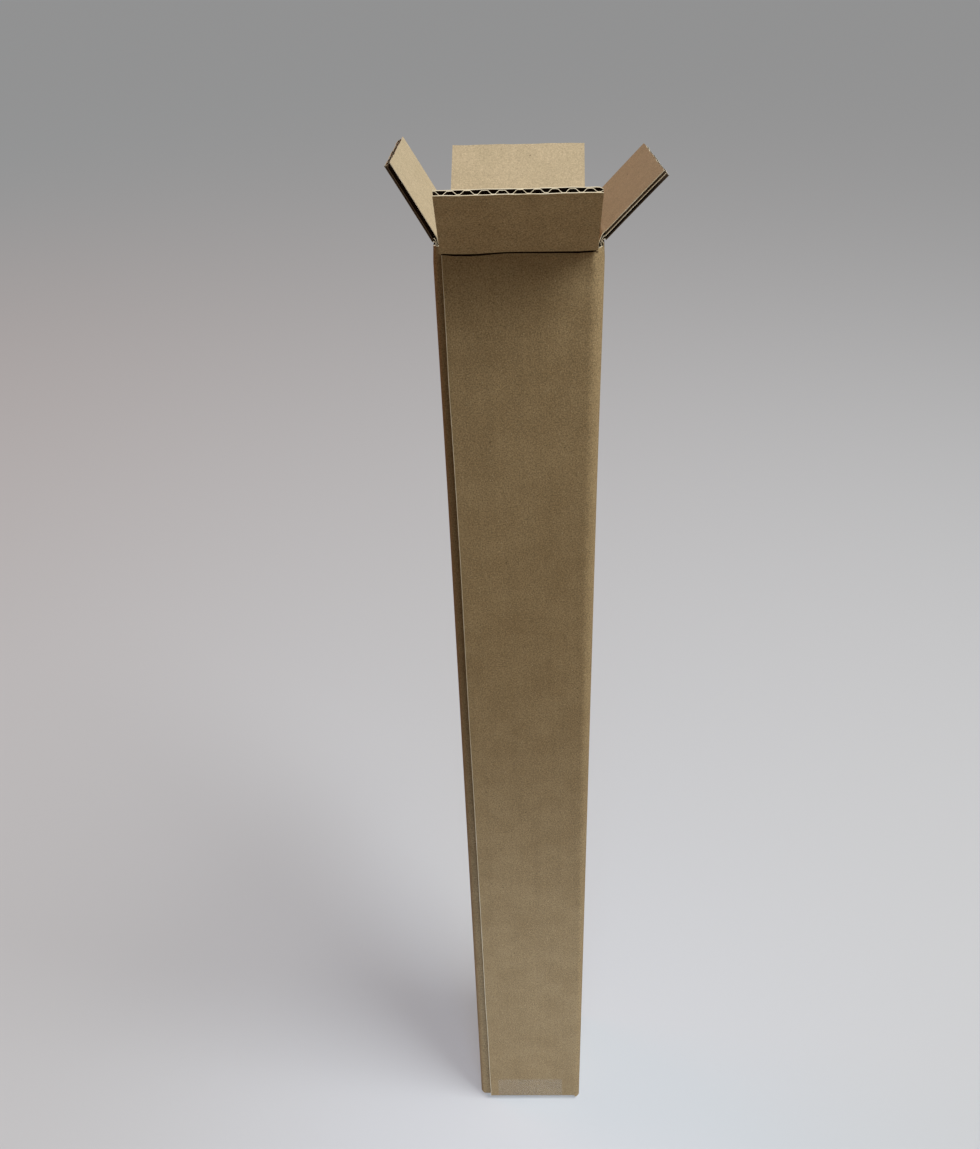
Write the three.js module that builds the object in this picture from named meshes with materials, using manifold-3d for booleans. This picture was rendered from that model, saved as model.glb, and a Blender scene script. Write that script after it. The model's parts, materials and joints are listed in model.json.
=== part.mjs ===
// A long, square, single-wall corrugated shipping box that stands on end with its top flaps open.
//
// It is a regular slotted carton folded from one blank. The front, right, back and left panels
// run round the tube, and a tab folded from the left panel is glued behind the raw edge of the
// front panel. The four bottom flaps are closed under one strip of clear tape. The four top
// flaps swing on their creases.
//
// Millimetres, +Z up, front panel facing -Y. The origin is on the floor under the centre of the tube.

import * as THREE from 'three';
import { mergeVertices } from 'three/addons/utils/BufferGeometryUtils.js';
import Module from 'manifold-3d';

const wasm = await Module();
wasm.setup();

// The tube, outside the board.
const boxWidth = 70;
const boxDepth = 70;
const creaseHeight = 600;
const foldRadius = 3.5;

// The single-wall board: two flat liners with a wavy medium between them.
const boardThickness = 2.9;
const linerThickness = 0.4;
const mediumThickness = 0.35;
const flutePitch = 6.5;
const glueLine = 0.1;
const voidSteps = 2;

// The flaps. The inner pair, front and back, closes first, and the outer pair lies on it.
const flapSeam = 0.6;
const flapSideInset = 3.2;
const backFlapInset = 4.3;
const bottomSeam = 1;
const layerGap = 0.3;
const creaseGap = 0.2;
const frontTilt = 38.5;
const backTilt = 47;
const leftTilt = 31;
const rightTilt = 43.5;

// The glued joint at the left front corner. The front panel's raw edge runs a little askew.
const tabLength = 30;
const tabSetBack = 1;
const seamFromFold = 0.3;
const seamSkew = 3;

// The clear tape over the bottom seam.
const tapeWidth = 45;
const tapeThickness = 0.1;
const tapeGlue = 0.02;
const tapeRise = 24.5;

// How far a cutting shape reaches past what it cuts, and how finely an arc is divided.
const overcut = 1;
const arcSegments = 3;

const innerCrease = creaseHeight;
const outerCrease = creaseHeight + boardThickness + layerGap;
const outerFloor = tapeThickness + tapeGlue;
const innerFloor = outerFloor + boardThickness + layerGap;
const cutTop = outerCrease + overcut;
const tabTop = innerCrease - boardThickness - creaseGap - tabSetBack;
const tabBottom = innerFloor + foldRadius + tabSetBack;
const seamInset = foldRadius + seamFromFold;
const seamTopX = seamInset - boxWidth / 2;
const seamBottomX = seamTopX + seamSkew;

const X = new THREE.Vector3(1, 0, 0);
const Y = new THREE.Vector3(0, 1, 0);
const Z = new THREE.Vector3(0, 0, 1);

// Each panel has its own directions: along it, into the box through the board, and up.
// low and high are the ends of its flaps, measured along it from its middle.
function panel(name, along, inward, half, length, crease, floor, reach, tilt, insets) {
  return {
    name,
    along,
    inward,
    half,
    length,
    crease,
    floor,
    reach,
    tilt,
    low: insets.low - length / 2,
    high: length / 2 - insets.high,
    bottomLow: insets.bottomLow - length / 2,
  };
}

const evenInsets = { low: flapSideInset, high: flapSideInset, bottomLow: flapSideInset };
const frontInsets = { low: flapSideInset, high: flapSideInset, bottomLow: seamInset + seamSkew };
const backInsets = { low: backFlapInset, high: backFlapInset, bottomLow: backFlapInset };
const leftFrontInset = boardThickness + flapSideInset;
const leftInsets = { low: flapSideInset, high: leftFrontInset, bottomLow: flapSideInset };

const panels = [
  panel('front', X, Y, boxDepth / 2, boxWidth, innerCrease, innerFloor, boxDepth / 2,
    frontTilt, frontInsets),
  panel('right', Y, X.clone().negate(), boxWidth / 2, boxDepth, outerCrease, outerFloor,
    boxWidth / 2, rightTilt, evenInsets),
  panel('back', X.clone().negate(), Y.clone().negate(), boxDepth / 2, boxWidth, innerCrease,
    innerFloor, boxDepth / 2, backTilt, backInsets),
  panel('left', Y.clone().negate(), X, boxWidth / 2, boxDepth, outerCrease, outerFloor,
    boxWidth / 2, leftTilt, leftInsets),
];
const frontPanel = panels[0];
const leftPanel = panels[3];

function toSolid(geometry) {
  const bare = geometry.index ? geometry.toNonIndexed() : geometry.clone();
  bare.deleteAttribute('normal');
  bare.deleteAttribute('uv');
  const merged = mergeVertices(bare, 1e-5);
  const mesh = new wasm.Mesh({
    numProp: 3,
    vertProperties: new Float32Array(merged.attributes.position.array),
    triVerts: new Uint32Array(merged.index.array),
  });
  return new wasm.Manifold(mesh);
}

function toGeometry(solid) {
  const mesh = solid.getMesh();
  const geometry = new THREE.BufferGeometry();
  geometry.setAttribute('position', new THREE.BufferAttribute(mesh.vertProperties, 3));
  geometry.setIndex(new THREE.BufferAttribute(mesh.triVerts, 1));
  geometry.computeVertexNormals();
  return geometry;
}

function outline(points) {
  return new THREE.Shape(points.map(([a, b]) => new THREE.Vector2(a, b)));
}

// An outline in the plane of two directions, extruded along the third.
function extruded(shape, depth, right, up, away, origin) {
  const geometry = new THREE.ExtrudeGeometry(shape, {
    depth,
    bevelEnabled: false,
    steps: 1,
    curveSegments: arcSegments,
  });
  const place = new THREE.Matrix4().makeBasis(right, up, away).setPosition(origin);
  return toSolid(geometry.applyMatrix4(place));
}

function upright(shape, from, to) {
  return extruded(shape, to - from, X, Y, Z, new THREE.Vector3(0, 0, from));
}

// An outline given by depth into the box and height, run along one panel.
function alongPanel(side, shape, from, to) {
  const origin = side.inward.clone().multiplyScalar(-side.half).addScaledVector(side.along, from);
  return extruded(shape, to - from, side.inward, Z, side.along, origin);
}

// The wavy medium's middle line, and the face it turns to the outer liner.
const waveHeight = (boardThickness - 2 * linerThickness - mediumThickness) / 2;

function mediumFace(offset) {
  const turn = 2 * Math.PI / flutePitch;
  const slope = waveHeight * turn * Math.sin(turn * offset);
  const middle = boardThickness / 2 + waveHeight * Math.cos(turn * offset);
  return middle - mediumThickness / 2 * Math.hypot(1, slope);
}

// Half the width of an empty flute, out to where the medium is glued to the liner.
function fluteHalfWidth() {
  let reach = flutePitch / 2;
  while (mediumFace(reach) < linerThickness + glueLine) {
    reach -= flutePitch / 100;
  }
  return reach;
}

const fluteReach = fluteHalfWidth();

// One empty flute: a flat side on the outer liner under one arch of the medium.
function fluteOutline(centre, onOuterLiner) {
  const points = [[-fluteReach, linerThickness], [fluteReach, linerThickness]];
  for (let step = voidSteps; step >= -voidSteps; step -= 1) {
    const offset = fluteReach * step / (voidSteps + 1);
    points.push([offset, mediumFace(offset)]);
  }
  const turned = points.map(([along, depth]) => [centre + along, depth]);
  return onOuterLiner ? turned : turned.map(([a, d]) => [a, boardThickness - d]);
}

// The flutes of a stretch of board. Open sides let a flute be cut through by the board's edge.
function flutes(from, to, openSides) {
  const middle = (from + to) / 2;
  const spare = to - from - 2 * fluteReach - flutePitch / 2;
  const whole = 1 + Math.floor(spare / flutePitch);
  const count = openSides ? whole + 2 : whole;
  const first = middle - (count / 2 - 0.25) * flutePitch;
  const outlines = [];
  for (let index = 0; index < count; index += 1) {
    const centre = first + index * flutePitch;
    outlines.push(fluteOutline(centre, true));
    outlines.push(fluteOutline(centre + flutePitch / 2, false));
  }
  return outlines;
}

// The board of one flap in its own plane: along the crease, through the board, away from it.
function flapBoard(from, to, reach) {
  const slab = outline([[from, 0], [to, 0], [to, boardThickness], [from, boardThickness]]);
  let board = upright(slab, 0, reach);
  for (const points of flutes(from, to, true)) {
    board = board.subtract(upright(outline(points), -overcut, reach + overcut));
  }
  return board;
}

// The section of the tube, with the tab lying behind the front panel's raw edge.
function tubeOutline() {
  const right = boxWidth / 2;
  const back = boxDepth / 2;
  const r = foldRadius;
  const tabFace = boardThickness - back;
  const shape = new THREE.Shape();
  shape.moveTo(seamTopX, -back);
  shape.lineTo(right - r, -back);
  shape.absarc(right - r, r - back, r, -Math.PI / 2, 0, false);
  shape.lineTo(right, back - r);
  shape.absarc(right - r, back - r, r, 0, Math.PI / 2, false);
  shape.lineTo(r - right, back);
  shape.absarc(r - right, back - r, r, Math.PI / 2, Math.PI, false);
  shape.lineTo(-right, tabFace + r);
  shape.absarc(r - right, tabFace + r, r, Math.PI, Math.PI * 1.5, false);
  shape.lineTo(seamTopX, tabFace);
  shape.closePath();
  return shape;
}

function insideOutline() {
  const right = boxWidth / 2 - boardThickness;
  const back = boxDepth / 2 - boardThickness;
  const r = foldRadius - boardThickness;
  const tabInside = boardThickness - back;
  const tabEnd = tabLength - boxWidth / 2;
  const path = new THREE.Path();
  path.moveTo(tabEnd, -back);
  path.lineTo(right - r, -back);
  path.absarc(right - r, r - back, r, -Math.PI / 2, 0, false);
  path.lineTo(right, back - r);
  path.absarc(right - r, back - r, r, 0, Math.PI / 2, false);
  path.lineTo(r - right, back);
  path.absarc(r - right, back - r, r, Math.PI / 2, Math.PI, false);
  path.lineTo(-right, tabInside + r);
  path.absarc(r - right, tabInside + r, r, Math.PI, Math.PI * 1.5, false);
  path.lineTo(tabEnd, tabInside);
  path.closePath();
  return path;
}

// The flutes of one panel run up the board, set back where the tab lies behind the front panel.
function panelFlutes(side, outlines, depth) {
  const origin = side.inward.clone().multiplyScalar(depth - side.half);
  origin.addScaledVector(Z, -overcut);
  const length = cutTop + overcut;
  return outlines.map((points) => {
    return extruded(outline(points), length, side.along, side.inward, Z, origin);
  });
}

function tube() {
  const section = tubeOutline();
  section.holes.push(insideOutline());
  const holes = [];
  for (const side of panels) {
    const rawEdge = side === frontPanel ? seamFromFold : 0;
    const setBack = side === leftPanel ? boardThickness : 0;
    const low = foldRadius + rawEdge - side.length / 2;
    const high = side.length / 2 - foldRadius - setBack;
    holes.push(...panelFlutes(side, flutes(low, high, false), 0));
  }
  const tabLow = foldRadius - boxWidth / 2;
  const tabHigh = tabLength - boxWidth / 2;
  holes.push(...panelFlutes(frontPanel, flutes(tabLow, tabHigh, false), boardThickness));
  let solid = upright(section, 0, outerCrease);
  for (const hole of holes) {
    solid = solid.subtract(hole);
  }
  return solid;
}

// Above its crease a panel is cut to a mitre that the closed flap fits.
function creaseCut(side) {
  const deep = boardThickness + layerGap / 2;
  const shape = outline([
    [-overcut, side.crease - creaseGap + overcut],
    [deep, side.crease - creaseGap - deep],
    [deep, cutTop],
    [-overcut, cutTop],
  ]);
  return alongPanel(side, shape, side.low, side.high);
}

// What a slot leaves of the four corners, over the inner crease or under the inner floor.
function cornerCuts(from, to) {
  const cuts = [];
  for (const side of panels) {
    const next = panels[(panels.indexOf(side) + 1) % panels.length];
    const shape = outline([
      [-overcut, from],
      [next.length / 2 + next.low, from],
      [next.length / 2 + next.low, to],
      [-overcut, to],
    ]);
    cuts.push(alongPanel(side, shape, side.high, side.length / 2 + overcut));
  }
  return cuts;
}

// The tab stops short of the top and bottom flaps.
function tabCuts() {
  const tabEnd = tabLength - boxWidth / 2 + overcut;
  const from = boardThickness - boxWidth / 2;
  const cuts = [];
  for (const [low, high] of [[-overcut, tabBottom], [tabTop, cutTop]]) {
    const shape = outline([
      [boardThickness, low],
      [2 * boardThickness + overcut, low],
      [2 * boardThickness + overcut, high],
      [boardThickness, high],
    ]);
    cuts.push(alongPanel(frontPanel, shape, from, tabEnd));
  }
  return cuts;
}

// The strip that the askew edge of the front panel leaves bare.
function seamCut() {
  const shape = outline([
    [seamTopX - overcut, -overcut],
    [seamBottomX, -overcut],
    [seamBottomX, 0],
    [seamTopX, innerCrease],
    [seamTopX - overcut, innerCrease],
  ]);
  const origin = new THREE.Vector3(0, boardThickness - boxDepth / 2, 0);
  const depth = boardThickness + overcut;
  return extruded(shape, depth, X, Z, Y.clone().negate(), origin);
}

// The crushed fold between a panel and its bottom flap.
function bottomFold(side) {
  const shape = new THREE.Shape();
  const middle = side.floor + foldRadius;
  shape.moveTo(0, middle);
  shape.absarc(foldRadius, middle, foldRadius, Math.PI, Math.PI * 1.5, false);
  shape.lineTo(foldRadius, side.floor + boardThickness);
  shape.absarc(foldRadius, middle, foldRadius - boardThickness, Math.PI * 1.5, Math.PI, true);
  shape.closePath();
  return alongPanel(side, shape, side.bottomLow, side.high);
}

function bottomFoldCut(side) {
  const deep = boardThickness + layerGap / 2;
  const shape = outline([
    [-overcut, -overcut],
    [deep, -overcut],
    [deep, side.floor + foldRadius],
    [-overcut, side.floor + foldRadius],
  ]);
  return alongPanel(side, shape, side.low, side.high);
}

function bottomFlap(side) {
  const board = flapBoard(side.bottomLow, side.high, side.reach - bottomSeam / 2 - foldRadius);
  const outward = side.inward.clone().negate();
  const start = outward.clone().multiplyScalar(side.half - side.reach + bottomSeam / 2);
  const place = new THREE.Matrix4().makeBasis(side.along, Z, outward);
  place.setPosition(start.addScaledVector(Z, side.floor));
  return toSolid(toGeometry(board).applyMatrix4(place));
}

function cartonBody() {
  let body = tube();
  const cuts = [...cornerCuts(innerCrease - creaseGap, cutTop), ...cornerCuts(-overcut, innerFloor)];
  cuts.push(...tabCuts(), seamCut());
  for (const side of panels) {
    cuts.push(creaseCut(side), bottomFoldCut(side));
  }
  for (const cut of cuts) {
    body = body.subtract(cut);
  }
  for (const side of panels) {
    body = body.add(bottomFold(side)).add(bottomFlap(side));
  }
  return toGeometry(body);
}

// A top flap starts at a mitre on its crease and ends short of the one opposite.
function topFlap(side) {
  const board = flapBoard(side.low, side.high, side.reach - flapSeam / 2);
  const deep = boardThickness + overcut;
  const mitre = outline([
    [-overcut, creaseGap - overcut],
    [-overcut, -2 * overcut],
    [deep, -2 * overcut],
    [deep, creaseGap + deep],
  ]);
  const from = side.low - overcut;
  const length = side.high - side.low + 2 * overcut;
  const cut = extruded(mitre, length, Y, Z, X, new THREE.Vector3(from, 0, 0));
  return toGeometry(board.subtract(cut));
}

// The tape's path under the box: down the front, round the fold, under the seam, up the back.
function tapePath(offset) {
  const front = -boxDepth / 2 - tapeGlue;
  const radius = foldRadius + tapeGlue;
  const centreY = foldRadius - boxDepth / 2;
  const centreZ = innerFloor + foldRadius;
  const edgeY = flapSideInset - boxDepth / 2;
  const gapY = edgeY - centreY;
  const gapZ = centreZ - tapeThickness;
  const toEdge = Math.atan2(gapZ, -gapY);
  const leave = toEdge - Math.acos(radius / Math.hypot(gapY, gapZ));
  const path = [[front - offset, tapeRise]];
  const turns = 2 * arcSegments;
  for (let step = 0; step <= turns; step += 1) {
    const angle = leave * step / turns;
    const reach = radius + offset;
    path.push([centreY - reach * Math.cos(angle), centreZ - reach * Math.sin(angle)]);
  }
  const slant = offset * Math.tan((Math.PI / 2 - leave) / 2);
  path.push([edgeY - slant, tapeThickness - offset]);
  return path;
}

function bottomTape() {
  const inside = tapePath(0);
  const outside = tapePath(tapeThickness);
  const mirrored = (points) => points.map(([y, z]) => [-y, z]);
  const inner = [...inside, ...mirrored(inside).reverse()];
  const outer = [...mirrored(outside), ...outside.reverse()];
  const shape = outline([...inner, ...outer]);
  const origin = new THREE.Vector3(-tapeWidth / 2, 0, 0);
  return toGeometry(extruded(shape, tapeWidth, Y, Z, X, origin));
}

const kraft = new THREE.MeshStandardMaterial({ color: 0xa98a5f, roughness: 0.9, metalness: 0 });
const film = new THREE.MeshStandardMaterial({
  color: 0xd8cdb4,
  roughness: 0.25,
  metalness: 0,
  transparent: true,
  opacity: 0.35,
});

function named(name, geometry, material) {
  const mesh = new THREE.Mesh(geometry, material);
  mesh.name = name;
  return mesh;
}

const box = new THREE.Group();
box.add(named('carton_body', cartonBody(), kraft));
box.add(named('bottom_tape', bottomTape(), film));
for (const side of panels) {
  const hinge = new THREE.Group();
  const outward = side.inward.clone().negate();
  hinge.position.copy(outward.multiplyScalar(side.half).addScaledVector(Z, side.crease));
  hinge.rotation.z = Math.atan2(side.along.y, side.along.x);
  const flap = named(`top_flap_${side.name}`, topFlap(side), kraft);
  flap.rotation.x = THREE.MathUtils.degToRad(side.tilt);
  hinge.add(flap);
  box.add(hinge);
}

export default box;
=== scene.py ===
"""A long square shipping box of single-wall corrugated board, standing on end with its flaps open.

The board is built as it is made: two flat liners glued to a wavy medium, cut as one blank,
folded round, glued at the left front corner and taped under the bottom. Lengths in the classes
are in millimetres and meshes are in metres.
"""
from __future__ import annotations

import json
import logging
import math
from dataclasses import dataclass, field
from enum import Enum
from typing import Callable

import bmesh
import bpy
import numpy as np
from mathutils import Matrix, Vector

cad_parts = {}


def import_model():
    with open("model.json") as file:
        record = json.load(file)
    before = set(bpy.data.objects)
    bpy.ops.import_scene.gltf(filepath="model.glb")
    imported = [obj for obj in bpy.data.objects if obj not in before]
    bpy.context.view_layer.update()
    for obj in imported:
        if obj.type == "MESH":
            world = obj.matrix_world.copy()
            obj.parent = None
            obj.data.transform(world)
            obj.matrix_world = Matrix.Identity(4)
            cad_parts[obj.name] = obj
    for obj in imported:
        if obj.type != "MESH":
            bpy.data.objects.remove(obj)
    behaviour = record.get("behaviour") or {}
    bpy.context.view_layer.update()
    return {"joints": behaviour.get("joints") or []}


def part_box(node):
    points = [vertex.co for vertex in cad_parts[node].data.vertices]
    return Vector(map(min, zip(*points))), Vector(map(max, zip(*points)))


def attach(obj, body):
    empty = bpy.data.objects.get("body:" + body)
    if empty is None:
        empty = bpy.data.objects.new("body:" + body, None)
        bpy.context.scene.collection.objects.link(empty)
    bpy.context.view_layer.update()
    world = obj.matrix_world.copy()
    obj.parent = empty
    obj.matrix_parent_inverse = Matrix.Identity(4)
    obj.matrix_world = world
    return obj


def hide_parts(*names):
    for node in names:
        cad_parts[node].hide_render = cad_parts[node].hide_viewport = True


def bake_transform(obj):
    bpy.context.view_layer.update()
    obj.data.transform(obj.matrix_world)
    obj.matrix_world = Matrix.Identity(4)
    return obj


LOG = logging.getLogger("shipping_box")
MM = 0.001
QUARTER = math.pi / 2
SHARP_ANGLE = math.radians(32)
EDGE_SLACK = 0.0001
Array = np.ndarray
Pair = tuple[float, float]
Tree = bpy.types.NodeTree
Socket = bpy.types.NodeSocket


class Skin(Enum):
    """The surfaces of the board, in the order of a mesh's material slots."""

    OUTER = 0
    INNER = 1
    CUT = 2
    # painted shade: a dark paper that stands in for the shade inside the flutes, worn by the wavy
    # paper and by the liners' faces between the flutes
    SHADED_FLUTE = 3


@dataclass(frozen=True)
class Board:
    """Single-wall corrugated board.

    Attributes:
        thickness: the whole board, over both liners.
        liner: one flat paper.
        medium: the wavy paper, measured straight through the board.
        pitch: the distance from one flute to the next.
        crest: the share of a flute that is glued flat to the inner liner.
        valley: the share that is glued flat to the outer liner.
        steps: how many flat pieces a flute is drawn with.
    """

    thickness: float = 2.9
    liner: float = 0.34
    medium: float = 0.34
    pitch: float = 6.5
    crest: float = 0.34
    valley: float = 0.2
    steps: int = 12

    @property
    def outer_liner(self) -> Pair:
        """The depths of the outer liner's two faces."""
        return 0.0, self.liner

    @property
    def inner_liner(self) -> Pair:
        """The depths of the inner liner's two faces."""
        return self.thickness - self.liner, self.thickness


def srgb(code: str) -> tuple[float, float, float, float]:
    """Turns an sRGB hex value such as b08d60 into linear colour.

    Args:
        code: six hex digits.

    Returns:
        Linear red, green, blue and an alpha of 1.
    """
    parts = [int(code[k:k + 2], 16) / 255 for k in (0, 2, 4)]
    linear = [p / 12.92 if p <= 0.04045 else ((p + 0.055) / 1.055) ** 2.4 for p in parts]
    return (*linear, 1.0)


def add(tree: Tree, kind: str, settings: dict | None = None,
        inputs: dict | None = None) -> bpy.types.Node:
    """Adds a node with its settings, and links or fills its inputs.

    Args:
        tree: the node tree.
        kind: the node's type name.
        settings: attributes to set on the node.
        inputs: by input name or number, a socket to link from or a value.

    Returns:
        The new node.
    """
    node = tree.nodes.new(kind)
    for name, value in (settings or {}).items():
        setattr(node, name, value)
    for key, value in (inputs or {}).items():
        socket = node.inputs[key]
        if isinstance(value, Socket):
            tree.links.new(value, socket)
        else:
            socket.default_value = value
    return node


def maths(tree: Tree, operation: str, *values: Socket | float) -> Socket:
    """Adds a math node over the given values and gives its result's socket."""
    return add(tree, "ShaderNodeMath", {"operation": operation}, dict(enumerate(values))).outputs[0]


def mix(tree: Tree, amount: Socket | float, under: Socket | tuple, over: Socket | tuple,
        blend: str = "MIX") -> Socket:
    """Lays one colour over another and gives the result's socket."""
    return add(tree, "ShaderNodeMix", {"data_type": "RGBA", "blend_type": blend}, {
        0: amount, 6: under, 7: over,
    }).outputs[2]


def bare_tree(block: bpy.types.Material | bpy.types.World) -> Tree:
    """Switches a material or world to nodes.

    Args:
        block: the material or world.

    Returns:
        Its node tree, emptied.
    """
    block.use_nodes = True
    block.node_tree.nodes.clear()
    return block.node_tree


def put(name: str, data: bpy.types.ID) -> bpy.types.Object:
    """Puts an object in the scene, at the origin.

    Args:
        name: the object's name.
        data: its mesh, light or camera.

    Returns:
        The object.
    """
    piece = bpy.data.objects.new(name, data)
    bpy.context.scene.collection.objects.link(piece)
    return piece


@dataclass(frozen=True)
class KraftPaper:
    """Recycled kraft paper, machine-made: a matt brown felt of fibres with dark and pale flecks.

    Attributes:
        name: the material's name.
        base: the paper's main colour.
        deep: its darker cloudy patches.
        fleck: the strength of the fine light and dark grain, 0 to 1.
        grain: the size of the grain in millimetres, a little coarser than real so that it shows.
        speckle: how dark the grain is at full strength, 0 to 1.
        washboard_shade: the strength of the faint upright bands, painted shade that stands in for
            the liner's washboard ripple over the flutes, 0 to 1.
        band: the width of those bands in millimetres.
        cloud: the size of the cloudy patches in millimetres.
        roughness: the surface's roughness.
    """

    name: str
    base: str
    deep: str
    fleck: float = 0.5
    grain: float = 0.9
    speckle: float = 0.62
    washboard_shade: float = 0.05
    band: float = 2.6
    cloud: float = 14.0
    roughness: float = 0.88

    def build(self) -> bpy.types.Material:
        """Builds the material's nodes.

        Returns:
            The material.
        """
        material = bpy.data.materials.new(self.name)
        tree = bare_tree(material)
        place = add(tree, "ShaderNodeTexCoord").outputs["Object"]
        clouds = self.noise(tree, place, self.cloud, 4.0, 0.6)
        grain = self.noise(tree, place, self.grain, 3.0, 0.75)
        # painted shade: faint upright bands standing in for the light and shade on the liner's
        # washboard ripple over the flutes
        washboard_bands = self.noise(tree, self.stretched(tree, place, (1.0, 1.0, 0.03)), self.band, 2.0)
        colour = mix(tree, self.ramp(tree, clouds, 0.35, 0.65), srgb(self.deep), srgb(self.base))
        shades = ((washboard_bands, 0.15, self.washboard_shade), (grain, 0.2, self.speckle * self.fleck))
        for value, reach, strength in shades:
            shade = self.ramp(tree, value, 0.5 - reach, 0.5 + reach)
            colour = mix(tree, strength, colour, shade, "MULTIPLY")
        colour = self.fibres(tree, place, colour, 0.7, "4a3418", 0.33, 0.55)
        colour = self.fibres(tree, place, colour, -0.5, "e2cfa6", 0.30, 0.5)
        bump = add(tree, "ShaderNodeBump", {}, {
            "Strength": 0.35, "Distance": 0.08 * MM,
            "Height": maths(tree, "MULTIPLY_ADD", clouds, 0.5, grain),
        })
        shader = add(tree, "ShaderNodeBsdfPrincipled", {}, {
            "Base Color": self.specks(tree, place, colour), "Roughness": self.roughness,
            "Normal": bump.outputs[0], "Specular IOR Level": 0.25,
        })
        add(tree, "ShaderNodeOutputMaterial", {}, {"Surface": shader.outputs[0]})
        return material

    @staticmethod
    def ramp(tree: Tree, value: Socket, low: float, high: float) -> Socket:
        """Stretches a value between two levels to the range 0 to 1."""
        return add(tree, "ShaderNodeMapRange", {}, {
            "Value": value, "From Min": low, "From Max": high,
        }).outputs[0]

    @staticmethod
    def noise(tree: Tree, place: Socket, size: float, detail: float,
              roughness: float = 0.5) -> Socket:
        """Makes a noise whose coarsest waves have a size in millimetres."""
        return add(tree, "ShaderNodeTexNoise", {}, {
            "Vector": place, "Scale": 1 / (size * MM), "Detail": detail, "Roughness": roughness,
        }).outputs["Fac"]

    @staticmethod
    def stretched(tree: Tree, place: Socket, scale: tuple[float, float, float],
                  turn: float = 0.0) -> Socket:
        """Scales coordinates, turned about the upright axis in radians."""
        return add(tree, "ShaderNodeMapping", {}, {
            "Vector": place, "Rotation": (0.0, 0.0, turn), "Scale": scale,
        }).outputs[0]

    def fibres(self, tree: Tree, place: Socket, under: Socket, turn: float, code: str, cover: float,
               strength: float) -> Socket:
        """Lays single long fibres over a colour.

        Args:
            tree: the node tree.
            place: the Object coordinates.
            under: the colour below.
            turn: how the fibres are turned about the upright axis, in radians.
            code: the fibres' sRGB hex colour.
            cover: the share of the noise range that counts as a fibre.
            strength: how opaque they are.

        Returns:
            The colour with the fibres on it.
        """
        turned = self.stretched(tree, place, (1.0, 0.35, 0.3), turn)
        noise = self.noise(tree, turned, 0.45 * self.grain, 1.0)
        mask = self.ramp(tree, noise, 1 - cover, 1 - cover + 0.06)
        amount = maths(tree, "MULTIPLY", mask, strength * self.fleck)
        return mix(tree, amount, under, srgb(code))

    def specks(self, tree: Tree, place: Socket, under: Socket) -> Socket:
        """Scatters a few small dark specks of bark and ink over a colour.

        Args:
            tree: the node tree.
            place: the Object coordinates.
            under: the colour below.

        Returns:
            The colour with the specks on it.
        """
        cells = add(tree, "ShaderNodeTexVoronoi", {}, {"Vector": place, "Scale": 1 / (7 * MM)})
        near = self.ramp(tree, cells.outputs["Distance"], 0.075, 0.05)
        pick = add(tree, "ShaderNodeSeparateColor", {}, {0: cells.outputs["Color"]}).outputs[0]
        mask = maths(tree, "MULTIPLY", near, self.ramp(tree, pick, 0.72, 0.74))
        return mix(tree, maths(tree, "MULTIPLY", mask, 0.55), under, srgb("3a2a18"))


@dataclass(frozen=True)
class ClearTape:
    """Polypropylene packing tape: a thin glossy film that shows the board a little paler."""

    name: str = "clear_tape_film"
    colour: str = "d2c9b8"
    cover: float = 0.07

    def build(self) -> bpy.types.Material:
        """Builds the material's nodes.

        Returns:
            The material.
        """
        material = bpy.data.materials.new(self.name)
        tree = bare_tree(material)
        shader = add(tree, "ShaderNodeBsdfPrincipled", {}, {
            "Base Color": srgb(self.colour), "Roughness": 0.4, "IOR": 1.49,
            "Alpha": self.cover,
        })
        add(tree, "ShaderNodeOutputMaterial", {}, {"Surface": shader.outputs[0]})
        return material


class BoardFinishes:
    """The papers that a cut piece of board shows, one for each skin."""

    def __init__(self) -> None:
        """Builds the four paper materials."""
        self.materials = {
            Skin.OUTER: KraftPaper("kraft_outer_liner", "b99e73", "af946a", 1.0, grain=0.65).build(),
            Skin.INNER: KraftPaper("kraft_inner_liner", "c5b08e", "bfab89", 0.6, grain=0.75).build(),
            Skin.CUT: KraftPaper("cut_board_edge", "eadcc0", "dccaa8", 0.3, 0.5).build(),
            # painted shade: the flute paper is drawn far darker than kraft, standing in for the
            # shade inside the flutes
            Skin.SHADED_FLUTE: KraftPaper("shaded_fluting_medium", "4d3a24", "432f1c", 0.3).build(),
        }

    def dress(self, mesh: bpy.types.Mesh) -> None:
        """Puts the papers in a mesh's material slots, in the order of Skin."""
        for skin in Skin:
            mesh.materials.append(self.materials[skin])


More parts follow.
